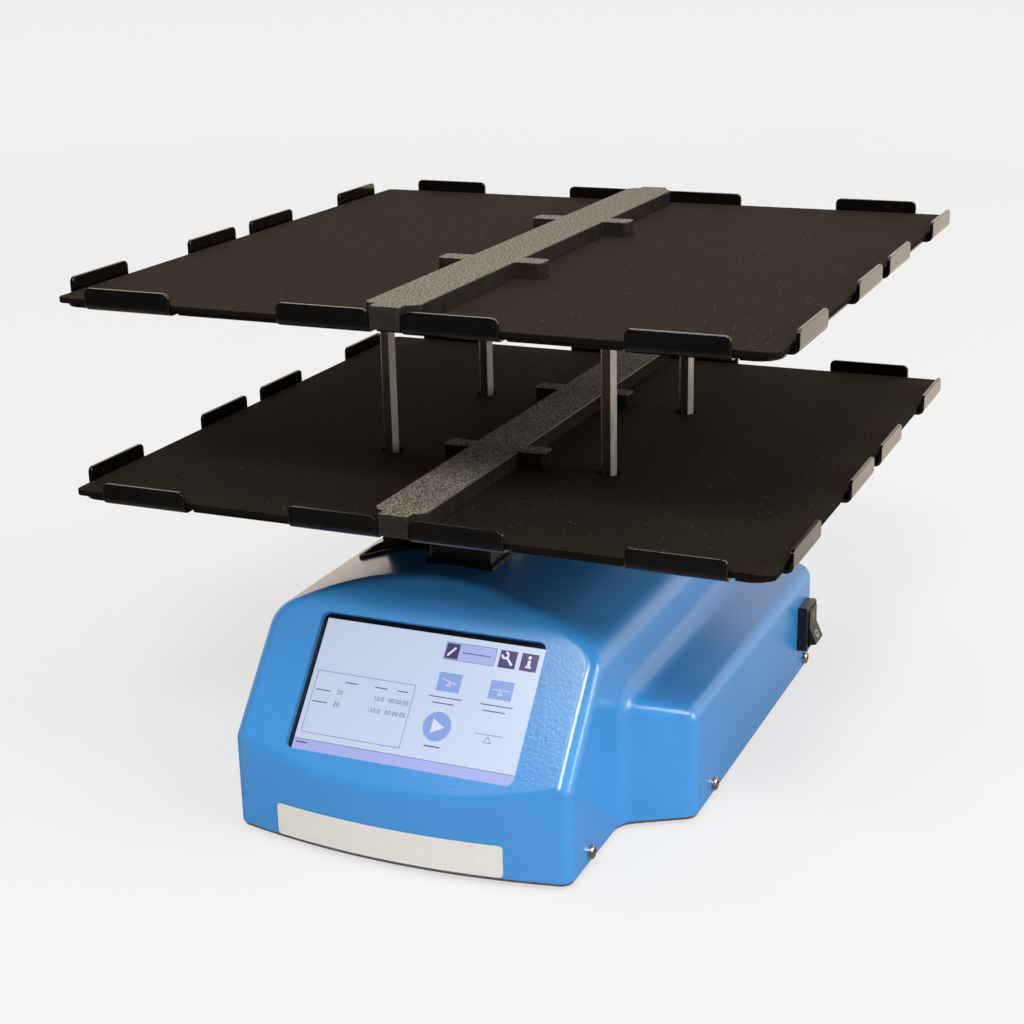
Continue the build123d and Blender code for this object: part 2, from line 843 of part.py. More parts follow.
def make_clamp_screws():
    depth = stack_depth() + clamp_sheet
    head = Cylinder(clamp_head_radius, clamp_head_height, align=hanging)
    shank = Cylinder(clamp_hole - play, clamp_sheet + 4, align=standing)
    return Compound(
        children=[front_slope * Pos(x, y, -depth) * (head + shank) for x, y in clamp_spots()]
    )


def make_label():
    bow = sagitta_radius(half_body, bow_depth)
    centre_y = front_y + bow
    z = label_base + label_height / 2
    inner = bow + label_bond
    skin = Cylinder(inner + label_thickness, label_height) - Cylinder(inner, label_height)
    skin = Pos(0, centre_y, z) * skin
    face = Pos(label_x, z) * RectangleRounded(label_width, label_height, label_corner)
    return skin & slab(face, front_y - 2, front_y + bow_depth + 5)


def make_switch_body():
    x1 = half_wing
    front = x1 + bezel_proud
    bezel = box_between(
        x1, front, switch_y - bezel_width / 2, switch_y + bezel_width / 2,
        switch_z - bezel_height / 2, switch_z + bezel_height / 2,
    )
    bezel = fillet([e for e in bezel.edges() if near(abs(e.tangent_at(0.5).X), 1, 0.01)], 1.5)
    bezel = fillet(bezel.faces().sort_by(Axis.X)[-1].edges(), 0.8)
    floor = front - paddle_pivot_depth - 1.9
    bezel -= box_between(
        floor, front + 1, switch_y - well_width / 2, switch_y + well_width / 2,
        switch_z - well_height / 2, switch_z + well_height / 2,
    )
    bezel += box_between(
        x1 - neck_depth, x1, switch_y - well_width / 2, switch_y + well_width / 2,
        switch_z - well_height / 2, switch_z + well_height / 2,
    )
    pin = Pos(front - paddle_pivot_depth, switch_y, switch_z) * Rot(90, 0, 0)
    return bezel - pin * Cylinder(paddle_pin_radius + play, well_width + 2)


def make_paddle():
    tip = paddle_pivot_depth + 2.6
    profile = make_face(
        Polyline(
            (tip, -paddle_half), (tip - 1.8, 0), (tip, paddle_half), (0.2, paddle_half),
            (-1.4, 2.0), (-1.4, -2.0), (0.2, -paddle_half), close=True,
        )
    )
    paddle = extrude(Plane.XZ * profile, paddle_width / 2, both=True)
    paddle = fillet([e for e in paddle.edges() if near(e.center().X, tip, 0.05)], 0.6)
    paddle += Rot(90, 0, 0) * Cylinder(paddle_pin_radius, well_width + 1.6)
    pivot_x = half_wing + bezel_proud - paddle_pivot_depth
    return Pos(pivot_x, switch_y, switch_z) * Rot(0, -paddle_tilt, 0) * paddle


def make_jack():
    flange = cylinder_y(jack_flange_radius, rear_y, rear_y + 2, jack_x, jack_z)
    barrel = cylinder_y(jack_radius, rear_y - jack_depth, rear_y, jack_x, jack_z)
    jack = flange + barrel - cylinder_y(3.0, rear_y - 9, rear_y + 3, jack_x, jack_z)
    return jack + cylinder_y(1.0, rear_y - 9.5, rear_y + 0.5, jack_x, jack_z)


def make_jack_nut():
    nut = RegularPolygon(jack_radius + 2, 6, major_radius=False) - Circle(jack_radius + play)
    return slab(Pos(jack_x, jack_z) * nut, rear_y - wall - 3, rear_y - wall)


def standoff_spots():
    across, along = board_width / 2 - 4, board_length / 2 - 4
    return [(board_x + i * across, board_y + j * along) for i in (-1, 1) for j in (-1, 1)]


def make_board():
    bottom = housing_base + standoff_height
    board = box_between(
        board_x - board_width / 2, board_x + board_width / 2,
        board_y - board_length / 2, board_y + board_length / 2, bottom, bottom + board_thickness,
    )
    for x, y in standoff_spots():
        board -= Pos(x, y, bottom) * Cylinder(screw_radius + 0.1, 10)
    top = bottom + board_thickness
    for k in range(4):
        x = board_x - 18 + 12 * k
        board += Pos(x, board_y - board_length / 2 + 5, top + 4) * Box(9, 7, 8)
    board += Pos(board_x - 10, board_y + 8, top + 3.5) * Box(16, 20, 7)
    for k in range(2):
        board += Pos(board_x + 14, board_y + 2 + 16 * k, top + 6) * Cylinder(5, 12)
    return board


def make_standoffs():
    post = Cylinder(standoff_radius, standoff_height, align=standing)
    tip = Cylinder(screw_radius, board_thickness + 1.2, align=standing)
    post += Pos(0, 0, standoff_height) * tip
    return Compound(children=[Pos(x, y, housing_base) * post for x, y in standoff_spots()])


def build_all():
    parts["housing"] = make_housing()
    parts["base_plate"] = make_base_plate()
    parts["feet"] = make_feet()
    parts["housing_screws"] = make_rim_screws()
    parts["touch_glass"] = on_screen(wall, glass_width, glass_height, glass_thickness)
    parts["display_module"] = on_screen(
        wall + glass_thickness, glass_width, glass_height, module_thickness
    )
    parts["display_board"] = on_screen(
        wall + glass_thickness + module_thickness, glass_width, glass_height, board_thickness
    )
    parts["display_clamp"] = make_clamp()
    parts["display_screws"] = make_clamp_screws()
    parts["label_plate"] = make_label()
    parts["switch_body"] = make_switch_body()
    parts["switch_paddle"] = make_paddle()
    parts["power_inlet"] = make_jack()
    parts["inlet_nut"] = make_jack_nut()
    parts["control_board"] = make_board()
    parts["board_standoffs"] = make_standoffs()
    parts["stepper_motor"] = make_motor()
    parts["motor_bracket"] = make_bracket()
    parts["motor_screws"] = make_motor_screws()
    parts["frame_screws"] = make_frame_screws()
    parts["front_pivot_block"] = make_block()
    parts["rear_pivot_block"] = half_turn(make_block())
    parts["front_upright"] = make_upright()
    parts["rear_upright"] = half_turn(make_upright())
    parts["pivot_bearings"] = make_bearings()
    parts["pivot_screws"] = make_pivot_screws()
    parts["slot_grommet"] = make_grommet()
    parts["motor_shaft"] = make_motor_shaft()
    parts["motor_pinion"] = make_pinion()
    parts["rocking_shaft"] = make_shaft()
    parts["shaft_hubs"] = make_hubs()
    parts["shaft_collars"] = make_collars()
    parts["carrier_plate"] = make_carrier()
    parts["hub_screws"] = Compound(
        children=[Pos(x, y, tray_base) * sunk_screw(11) for x, y in hub_screw_spots()]
    )
    parts["drive_sector"] = make_sector()
    parts["sector_screws"] = Compound(
        children=[Pos(x, y, tray_base) * sunk_screw(13) for x, y in sector_screw_spots()]
    )
    parts["lower_tray"] = post_holes(make_tray(tray_base), screw_radius + play)
    parts["lower_mat"] = post_holes(make_mat(tray_base), mat_hole_radius)
    parts["lower_bar"] = make_bar(tray_base)
    parts["hex_posts"] = make_posts()
    under = [(x, y, z) for x, y, z in square_spots(post_spacing, tray_base - carrier_sheet)]
    parts["lower_post_screws"] = place_list(under, Rot(180, 0, 0) * pan_screw(carrier_sheet + sheet + 6))
    parts["upper_tray"] = make_upper_tray()
    parts["upper_mat"] = make_mat(tray_base + tier_pitch)
    parts["upper_bar"] = make_bar(tray_base + tier_pitch)
    top = tray_base + tier_pitch + sheet
    parts["upper_post_screws"] = place_list(square_spots(post_spacing, top), sunk_screw(sheet + 6))


build_all()
os.makedirs("parts", exist_ok=True)
for name, shape in parts.items():
    export_step(shape, f"parts/{name}.step")
    print(name, len(shape.solids()), round(shape.volume, 1))
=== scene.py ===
import bmesh
import bpy
import json
from math import cos, pi, radians, sin
from mathutils import Matrix, Vector


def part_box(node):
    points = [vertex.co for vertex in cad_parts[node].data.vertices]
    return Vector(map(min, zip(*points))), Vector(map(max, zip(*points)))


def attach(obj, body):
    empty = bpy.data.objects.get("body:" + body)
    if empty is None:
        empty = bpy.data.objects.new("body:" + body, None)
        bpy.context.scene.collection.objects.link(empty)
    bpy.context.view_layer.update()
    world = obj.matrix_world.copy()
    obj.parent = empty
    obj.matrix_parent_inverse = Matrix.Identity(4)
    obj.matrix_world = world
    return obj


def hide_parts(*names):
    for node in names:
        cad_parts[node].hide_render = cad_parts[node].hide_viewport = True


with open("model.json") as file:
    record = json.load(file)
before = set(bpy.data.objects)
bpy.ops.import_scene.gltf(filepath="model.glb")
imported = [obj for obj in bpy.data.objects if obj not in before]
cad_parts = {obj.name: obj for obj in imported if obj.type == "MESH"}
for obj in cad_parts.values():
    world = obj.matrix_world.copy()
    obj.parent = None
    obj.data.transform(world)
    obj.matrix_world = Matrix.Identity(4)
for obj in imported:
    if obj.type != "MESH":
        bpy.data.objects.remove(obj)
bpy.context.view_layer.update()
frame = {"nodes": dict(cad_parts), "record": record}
nodes = frame["nodes"]
mm = 0.001
bodyOf = {n: b for b, members in frame["record"]["behaviour"]["bodies"].items() for n in members}
slotOf = {s["node"]: s["material_slot"] for s in frame["record"]["subparts"]}
bpy.context.scene.view_settings.view_transform = "Standard"
print("frame loaded:", len(nodes), "nodes")


def linear(hexColour, shade=1.0):
    # sRGB hex to a linear colour, darkened by shade
    channels = [int(hexColour[i : i + 2], 16) / 255 for i in (1, 3, 5)]
    light = [c / 12.92 if c <= 0.04045 else ((c + 0.055) / 1.055) ** 2.4 for c in channels]
    return [c * shade for c in light] + [1.0]


def addNode(tree, kind, inputs=None, links=None, stops=(), **settings):
    # a link comes from a socket, or from a node whose first output is meant
    node = tree.nodes.new(kind)
    for key, value in settings.items():
        setattr(node, key, value)
    for key, value in (inputs or {}).items():
        node.inputs[key].default_value = value
    for key, source in (links or {}).items():
        tree.links.new(getattr(source, "outputs", [source])[0], node.inputs[key])
    for _ in stops[2:]:
        node.color_ramp.elements.new(0.5)
    for k, (position, *colour) in enumerate(stops):
        node.color_ramp.elements[k].position = position
        node.color_ramp.elements[k].color = linear(*colour)
    return node


def newMaterial(name, shader):
    material = bpy.data.materials.new(name)
    material.use_nodes = True
    tree = material.node_tree
    tree.nodes.clear()
    surface = addNode(tree, "ShaderNodeBsdfPrincipled", shader)
    addNode(tree, "ShaderNodeOutputMaterial", links={"Surface": surface})
    place = addNode(tree, "ShaderNodeTexCoord").outputs["Object"]
    return material, tree, surface, place


def grain(tree, place, size, detail=2.0, stretch=(1, 1, 1)):
    # noise whose lumps are about size millimetres across
    where = addNode(tree, "ShaderNodeMapping", {"Scale": stretch}, {"Vector": place})
    texture = {"Scale": 1 / (size * mm), "Detail": detail}
    return addNode(tree, "ShaderNodeTexNoise", texture, {"Vector": where})


def facesUp(tree, start, full):
    # 0 on the sides of a piece, 1 on its top; it masks the painted shade on side faces, and the bar top's
    # roughness
    normal = addNode(tree, "ShaderNodeTexCoord").outputs["Normal"]
    height = addNode(tree, "ShaderNodeSeparateXYZ", links={"Vector": normal}).outputs["Z"]
    stops = [(start, "#000000"), (full, "#FFFFFF")]
    return addNode(tree, "ShaderNodeValToRGB", links={"Fac": height}, stops=stops)


def layFinish(tree, surface, colour=None, roughness=None, relief=None):
    # each begins with its pattern: then colour stops, a range of roughness, a depth in millimetres
    if colour:
        pattern, stops = colour
        tint = addNode(tree, "ShaderNodeValToRGB", links={"Fac": pattern}, stops=stops)
        tree.links.new(tint.outputs["Color"], surface.inputs["Base Color"])
    if roughness:
        pattern, low, high = roughness
        dull = addNode(tree, "ShaderNodeMapRange", {"To Min": low, "To Max": high}, {"Value": pattern})
        tree.links.new(dull.outputs["Result"], surface.inputs["Roughness"])
    if relief:
        pattern, depth = relief
        bump = addNode(tree, "ShaderNodeBump", {"Distance": depth * mm}, {"Height": pattern})
        tree.links.new(bump.outputs["Normal"], surface.inputs["Normal"])


mixA, mixB, mixResult = 6, 7, 2  # the colour sockets of a mix node


def makeHousingAbs():
    # injection-moulded ABS from a grained tool: clear reflections that break into fine sparkle
    material, tree, surface, place = newMaterial(
        "blueMouldedAbs", {"IOR": 1.52, "Coat Weight": 0.2, "Coat Roughness": 0.16}
    )
    patch = grain(tree, place, 60, 3)
    peel = grain(tree, place, 1.2)
    stops = [(0.35, "#398BCE"), (0.65, "#408ED1")]
    layFinish(tree, surface, (patch, stops), (patch, 0.22, 0.27), (peel, 0.09))
    return material


def makeTrayEnamel():
    # stoved black enamel on bent steel sheet: deep gloss with a faint ripple from spraying
    material, tree, surface, place = newMaterial("blackStovedEnamel", {"IOR": 1.5})
    ripple = grain(tree, place, 3.0)
    cloud = grain(tree, place, 12)
    stops = [(0.3, "#050404"), (0.7, "#0A0908")]
    layFinish(tree, surface, (ripple, stops), (cloud, 0.09, 0.16), (ripple, 0.02))
    return material


matRubber = {
    "grain": 0.9,  # mm
    "ground": [(0.3, "#1C1511"), (0.5, "#231C16"), (0.75, "#2E261F")],
    # painted shade: the colour of the mat's side faces, darker than its top
    "edge": "#110D0A",
    "fleck": "#74665A",
    "fleckPitch": 4.5,  # mm from fleck to fleck
    "fleckPatch": 9,  # mm across the patches where flecks are larger
    "fleckSize": 0.125,  # share of the pitch
}


def makeMatRubber():
    # closed-cell rubber sheet: dead matt brown-black with a dust of pale flecks; its cut side faces take a
    # darker colour, a painted shade
    material, tree, surface, place = newMaterial(
        "closedCellRubber", {"IOR": 1.45, "Specular IOR Level": 0.08}
    )
    cells = addNode(
        tree, "ShaderNodeTexVoronoi", {"Scale": 1 / (matRubber["fleckPitch"] * mm)}, {"Vector": place}
    )
    patch = grain(tree, place, matRubber["fleckPatch"])
    size = addNode(tree, "ShaderNodeMath", {1: matRubber["fleckSize"]}, {0: patch}, operation="MULTIPLY")
    fleck = addNode(tree, "ShaderNodeMath", links={0: cells, 1: size}, operation="LESS_THAN")
    weave = grain(tree, place, matRubber["grain"], 4)
    ground = addNode(tree, "ShaderNodeValToRGB", links={"Fac": weave}, stops=matRubber["ground"])
    flecked = addNode(
        tree,
        "ShaderNodeMix",
        {mixB: linear(matRubber["fleck"])},
        {"Factor": fleck, mixA: ground},
        data_type="RGBA",
    )
    # painted shade: the side faces, found by which way they face, take the darker colour
    fleckedWithShadedSides = addNode(
        tree,
        "ShaderNodeMix",
        {mixA: linear(matRubber["edge"])},
        {"Factor": facesUp(tree, 0.5, 0.8), mixB: flecked.outputs[mixResult]},
        data_type="RGBA",
    )
    tree.links.new(fleckedWithShadedSides.outputs[mixResult], surface.inputs["Base Color"])
    layFinish(tree, surface, None, (weave, 0.8, 0.95), (weave, 0.15))
    return material


barPlastic = {
    "grain": 0.8,  # mm
    "top": [(0.38, "#2F2B26"), (0.5, "#6E655A"), (0.64, "#A39888")],
    "cloud": 6,  # mm, on the sides
    # painted shade: the side faces' colour, darker than the grained top
    "sides": [(0.3, "#221F1D"), (0.7, "#2C2926")],
}


def makeBarPlastic():
    # moulded bar with a grained top face and smooth sides; the sides are coloured darker than the top, a
    # painted shade
    material, tree, surface, place = newMaterial(
        "grainedBarPlastic", {"IOR": 1.48, "Specular IOR Level": 0.3}
    )
    speck = grain(tree, place, barPlastic["grain"], 4)
    grained = addNode(tree, "ShaderNodeValToRGB", links={"Fac": speck}, stops=barPlastic["top"])
    cloud = grain(tree, place, barPlastic["cloud"])
    smooth = addNode(tree, "ShaderNodeValToRGB", links={"Fac": cloud}, stops=barPlastic["sides"])
    # mask for the painted shade on the sides, and for the top's roughness
    top = facesUp(tree, 0.75, 0.9)
    colour = addNode(
        tree, "ShaderNodeMix", {}, {"Factor": top, mixA: smooth, mixB: grained}, data_type="RGBA"
    )
    tree.links.new(colour.outputs[mixResult], surface.inputs["Base Color"])
    layFinish(tree, surface, None, (top, 0.24, 0.9), (speck, 0.10))
    return material


def makePostAluminium():
    # drawn hexagon bar and milled plates: fine lines run along the length
    material, tree, surface, place = newMaterial("drawnAluminium", {"Metallic": 1.0})
    lines = grain(tree, place, 0.35, 3, (1, 1, 0.03))
    stops = [(0.3, "#8E8983"), (0.7, "#B5B0AA")]
    layFinish(tree, surface, (lines, stops), (lines, 0.4, 0.54), (lines, 0.01))
    return material


def makeBlackAnodised():
    # black anodised aluminium: even satin black, machining lines just visible
    material, tree, surface, place = newMaterial("blackAnodisedAluminium", {"IOR": 1.6})
    lines = grain(tree, place, 0.5, 2, (1, 0.1, 1))
    stops = [(0.3, "#060606"), (0.7, "#0D0D0D")]
    layFinish(tree, surface, (lines, stops), (lines, 0.3, 0.42), (lines, 0.008))
    return material


def makeScrewNickel():
    # nickel-plated screw heads: warm grey, bright, slightly clouded by handling
    material, tree, surface, place = newMaterial("nickelPlate", {"Metallic": 1.0})
    cloud = grain(tree, place, 1.5, 3)
    layFinish(tree, surface, (cloud, [(0.3, "#A79F93"), (0.7, "#D2CBBF")]), (cloud, 0.18, 0.34))
    return material


def makeShaftSteel():
    # ground steel: grinding lines round the shaft, a cool bright grey
    material, tree, surface, place = newMaterial("groundSteel", {"Metallic": 1.0})
    lines = grain(tree, place, 0.4, 3, (0.05, 1, 1))
    layFinish(tree, surface, (lines, [(0.3, "#8E8F92"), (0.7, "#BFC0C3")]), (lines, 0.22, 0.36))
    return material


def makePinionBrass():
    # cut brass gear: yellow metal with fine turning marks
    material, tree, surface, place = newMaterial("cutBrass", {"Metallic": 1.0})
    lines = grain(tree, place, 0.5, 2, (1, 0.1, 1))
    layFinish(tree, surface, (lines, [(0.3, "#B08A42"), (0.7, "#D8B56B")]), (lines, 0.22, 0.35))
    return material


def makeFootRubber():
    # moulded black rubber: dull, with a faint bloom
    material, tree, surface, place = newMaterial("mouldedBlackRubber", {"IOR": 1.5})
    bloom = grain(tree, place, 2.0, 3)
    fine = grain(tree, place, 0.5)
    stops = [(0.3, "#0E0E0E"), (0.7, "#1B1A19")]
    layFinish(tree, surface, (bloom, stops), (bloom, 0.6, 0.8), (fine, 0.03))
    return material


def makeSwitchNylon():
    # moulded nylon switch: near black, lightly textured, a soft sheen
    material, tree, surface, place = newMaterial("mouldedSwitchNylon", {"IOR": 1.5})
    fine = grain(tree, place, 0.6)
    stops = [(0.3, "#121213"), (0.7, "#1D1D1E")]
    layFinish(tree, surface, (fine, stops), (fine, 0.26, 0.36), (fine, 0.01))
    return material


def makeLabelFilm():
    # bare satin polyester film: warm cream, slight fibre mottling
    material, tree, surface, place = newMaterial("satinLabelFilm", {"IOR": 1.5})
    mottle = grain(tree, place, 3.0, 3)
    layFinish(tree, surface, (mottle, [(0.3, "#DAD6CF"), (0.7, "#DEDAD3")]), (mottle, 0.4, 0.52))
    return material


def makeScreenBorder():
    # float glass over black print: mirror gloss with the faintest waviness
    material, tree, surface, place = newMaterial("blackBackedGlass", {"IOR": 1.52})
    wave = grain(tree, place, 25, 1)
    layFinish(tree, surface, (wave, [(0.3, "#060607"), (0.7, "#0B0B0D")]), (wave, 0.05, 0.09))
    return material


def makeBoardLacquer():
    # solder mask over copper: green lacquer with a tracery of lines 4 mm apart
    material, tree, surface, place = newMaterial("solderMaskBoard", {"IOR": 1.5})
    texture = {"Scale": 1 / (4 * mm)}
    cells = addNode(tree, "ShaderNodeTexVoronoi", texture, {"Vector": place}, distance="MANHATTAN")
    layFinish(tree, surface, (cells, [(0.2, "#0D3A22"), (0.5, "#17532F")]), (cells, 0.25, 0.4))
    return material


backLight = {
    "dark": 0.8,  # share of the colour where the panel is dimmest, at the left and high up
    "dimAt": -0.17,  # metres across, less the height times the lean
    "fullAt": -0.02,
    "lean": 1.4,
    "pixels": 0.6,  # mm
    "pixelDepth": 0.08,
}


def makeBackLight(name, hexColour, strength=1.0):
    # liquid-crystal panel lit from behind: a soft change across it, a fine pixel grid under glass
    material, tree, surface, place = newMaterial(
        name, {"Roughness": 0.16, "Base Color": linear("#101014"), "Emission Strength": strength}
    )
    axes = addNode(tree, "ShaderNodeSeparateXYZ", links={"Vector": place}).outputs
    slope = addNode(tree, "ShaderNodeMath", {1: backLight["lean"]}, {0: axes["Z"]}, operation="MULTIPLY")
    side = addNode(tree, "ShaderNodeMath", links={0: axes["X"], 1: slope}, operation="SUBTRACT")
    span = {"From Min": backLight["dimAt"], "From Max": backLight["fullAt"]}
    even = addNode(tree, "ShaderNodeMapRange", span, {"Value": side})
    swing = {"To Min": -backLight["pixelDepth"], "To Max": backLight["pixelDepth"]}
    pixels = grain(tree, place, backLight["pixels"], 0)
    grid = addNode(tree, "ShaderNodeMapRange", swing, {"Value": pixels})
    level = addNode(tree, "ShaderNodeMath", links={0: even, 1: grid}, operation="ADD")
    stops = [(0.0, hexColour, backLight["dark"]), (1.0, hexColour)]
    glow = addNode(tree, "ShaderNodeValToRGB", links={"Fac": level}, stops=stops)
    tree.links.new(glow.outputs["Color"], surface.inputs["Emission Color"])
    return material


def makePrintedInk(name, hexColour):
    # pad-printed ink: thin, matt, slightly uneven
    material, tree, surface, place = newMaterial(name, {"IOR": 1.5})
    uneven = grain(tree, place, 0.8)
    stops = [(0.3, hexColour, 0.85), (0.7, hexColour)]
    layFinish(tree, surface, (uneven, stops), (uneven, 0.45, 0.6))
    return material


finishes = {
    "blue_plastic": makeHousingAbs(),
    "black_coat": makeTrayEnamel(),
    "dark_rubber": makeMatRubber(),
    "black_rubber": makeFootRubber(),
    "grey_foam_bar": makeBarPlastic(),
    "bare_aluminium": makePostAluminium(),
    "black_metal": makeBlackAnodised(),
    "screw_steel": makeScrewNickel(),
    "ground_steel": makeShaftSteel(),
    "pinion_brass": makePinionBrass(),
    "screen_glass": makeScreenBorder(),
    "circuit_board": makeBoardLacquer(),
    "cream_label": makeLabelFilm(),
    "black_plastic": makeSwitchNylon(),
}
finishes["motor_black"] = finishes["black_metal"]
finishes["display_metal"] = finishes["ground_steel"]
print("materials made:", len(set(finishes.values())))


def setMaterial(thing, material):
    thing.data.materials.clear()
    thing.data.materials.append(material)


for name, node in nodes.items():
    setMaterial(node, finishes[slotOf[name]])


def addObject(name, data):
    thing = bpy.data.objects.new(name, data)
    bpy.context.scene.collection.objects.link(thing)
    return thing


def meshFrom(work, name):
    mesh = bpy.data.meshes.new(name)
    work.to_mesh(mesh)
    work.free()
    return mesh


def finishedMesh(thing):
    depsgraph = bpy.context.evaluated_depsgraph_get()
    return bpy.data.meshes.new_from_object(thing.evaluated_get(depsgraph))


def bakeModifiers(thing):
    baked = finishedMesh(thing)
    thing.modifiers.clear()
    thing.data = baked


def newPiece(name, mesh, material, body):
    piece = addObject(name, mesh)
    setMaterial(piece, material)
    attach(piece, body)


edgeBreaks = {  # mm, on a copy of each CAD node; 0 leaves the edges and smooths the faces
    "housing": 0.0,
    "lower_tray": 0.25,
    "upper_tray": 0.25,
    "lower_mat": 0.35,
    "upper_mat": 0.35,
    "lower_bar": 0.4,
    "upper_bar": 0.4,
    "front_pivot_block": 0.0,
    "rear_pivot_block": 0.0,
    "drive_sector": 0.15,
    "slot_grommet": 0.2,
    "label_plate": 0.08,
    "switch_body": 0.0,
    "switch_paddle": 0.2,
    "rocking_shaft": 0.0,
    "shaft_hubs": 0.3,
    "shaft_collars": 0.0,
    "hex_posts": 0.12,
    "carrier_plate": 0.3,
    "feet": 0.0,
    "base_plate": 0.2,
    "power_inlet": 0.2,
}
dressing = {
    "mergeGap": 0.002,  # mm, for the loose corners of the CAD triangles
    "flat": 0.6,  # degrees under which faces join into one
    "sharp": 32,  # degrees over which an edge is hard
}


def dressNode(name, edgeBreak):
    # a merged copy of a CAD node, shaded smooth, with its hard edges broken
    sharp = radians(dressing["sharp"])
    work = bmesh.new()
    work.from_mesh(nodes[name].data)
    bmesh.ops.remove_doubles(work, verts=work.verts, dist=dressing["mergeGap"] * mm)
    if edgeBreak:
        flat = radians(dressing["flat"])
        bmesh.ops.dissolve_limit(work, angle_limit=flat, verts=work.verts, edges=work.edges)
    for face in work.faces:
        face.smooth = True
    for edge in work.edges:
        edge.smooth = len(edge.link_faces) == 2 and edge.calc_face_angle(0) < sharp
    piece = addObject(name + "_dressed", meshFrom(work, name + "Dressed"))
    setMaterial(piece, finishes[slotOf[name]])
    if edgeBreak:
        rounding = piece.modifiers.new("edge", "BEVEL")
        rounding.width = edgeBreak * mm
        rounding.segments = 2
        rounding.limit_method = "ANGLE"
        rounding.angle_limit = sharp
        rounding.use_clamp_overlap = True
    blend = piece.modifiers.new("normals", "WEIGHTED_NORMAL")
    blend.keep_sharp = True
    bakeModifiers(piece)
    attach(piece, bodyOf[name])
    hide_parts(name)


for name, edgeBreak in edgeBreaks.items():
    dressNode(name, edgeBreak)
print("nodes dressed:", len(edgeBreaks))


def ring(u, v, radius, sides):
    turns = [2 * pi * k / sides for k in range(sides)]
    return [(u + radius * cos(a), v + radius * sin(a)) for a in turns]


rimScrew = {
    "headRadius": 3.0,  # mm
    "headHeight": 2.0,
    "profile": [(1.0, 0.0), (1.0, 0.45), (0.93, 0.72), (0.78, 0.9), (0.6, 0.98)],  # shares of the two
    "sides": 32,
    "recess": 1.7,  # half the length of the cross, mm
    "recessWidth": 0.55,  # half the width of its arms
    "recessDepth": 1.0,
    "recessTaper": 0.6,
    "size": 1.0,
    "turnSeed": 4,
    "spots": [(73.2, -126.2), (100, -53.1), (100, 90.9)],  # half width of the housing there, and y
}


def crossRecess():
    # the tapered cross that a driver fits, to be cut from the head
    reach, width = rimScrew["recess"], rimScrew["recessWidth"]
    quarter = [(reach, -width), (reach, width), (width, width)]
    outline = []
    for c, s in ((1, 0), (0, 1), (-1, 0), (0, -1)):
        outline += [(x * c - y * s, x * s + y * c) for x, y in quarter]
    height, taper = rimScrew["headHeight"], rimScrew["recessTaper"]
    work = bmesh.new()
    top = [work.verts.new((x, y, height + 1)) for x, y in outline]
    low = [work.verts.new((x * taper, y * taper, height - rimScrew["recessDepth"])) for x, y in outline]
    work.faces.new(top)
    work.faces.new(low[::-1])
    for k in range(len(outline)):
        work.faces.new((low[k - 1], low[k], top[k], top[k - 1]))
    bmesh.ops.recalc_face_normals(work, faces=work.faces)
    return addObject("screwCut", meshFrom(work, "screwCut"))


def crossRecessHead():
    # a domed pan head with a cross cut in its top, standing on z = 0
    radius, height, sides = rimScrew["headRadius"], rimScrew["headHeight"], rimScrew["sides"]
    work = bmesh.new()
    loops = [
        [work.verts.new((x, y, height * rise)) for x, y in ring(0, 0, radius * reach, sides)]
        for reach, rise in rimScrew["profile"]
    ]
    for low, high in zip(loops, loops[1:]):
        for k in range(sides):
            work.faces.new((low[k - 1], low[k], high[k], high[k - 1]))
    work.faces.new(loops[0][::-1])
    work.faces.new(loops[-1])
    head = addObject("screwHead", meshFrom(work, "screwHead"))
    cutter = crossRecess()
    cut = head.modifiers.new("cut", "BOOLEAN")
    cut.object = cutter
    cut.solver = "EXACT"
    bakeModifiers(head)
    for vertex in head.data.vertices:
        vertex.co *= mm
    bpy.data.objects.remove(cutter)
    return head


def screwTree(name, material):
    # Geometry Nodes: the pattern on every point, turned so that +Z follows the point's way
    tree = bpy.data.node_groups.new(name, "GeometryNodeTree")
    sizes = {"Geometry": "Geometry", "Pattern": "Object", "Size": "Float", "Turn seed": "Int"}
    for label, kind in sizes.items():
        tree.interface.new_socket(label, in_out="INPUT", socket_type="NodeSocket" + kind)
    tree.interface.new_socket("Geometry", in_out="OUTPUT", socket_type="NodeSocketGeometry")
    start = addNode(tree, "NodeGroupInput").outputs
    shape = addNode(tree, "GeometryNodeObjectInfo", links={"Object": start["Pattern"]})
    way = addNode(tree, "GeometryNodeInputNamedAttribute", {"Name": "way"}, data_type="FLOAT_VECTOR")
    align = addNode(tree, "FunctionNodeAlignRotationToVector", links={"Vector": way}, axis="Z")
    turn = addNode(tree, "FunctionNodeRandomValue", {3: pi / 2}, {"Seed": start["Turn seed"]})
    spin = addNode(tree, "ShaderNodeCombineXYZ", links={"Z": turn.outputs[1]})
    rotate = addNode(
        tree,
        "FunctionNodeRotateRotation",
        links={"Rotation": align, "Rotate By": spin},
        rotation_space="LOCAL",
    )
    place = addNode(
        tree,
        "GeometryNodeInstanceOnPoints",
        links={
            "Points": start["Geometry"],
            "Instance": shape.outputs["Geometry"],
            "Rotation": rotate,
            "Scale": start["Size"],
        },
    )
    real = addNode(tree, "GeometryNodeRealizeInstances", links={"Geometry": place})
    paint = addNode(tree, "GeometryNodeSetMaterial", {"Material": material}, {"Geometry": real})
    addNode(tree, "NodeGroupOutput", links={"Geometry": paint})
    return tree


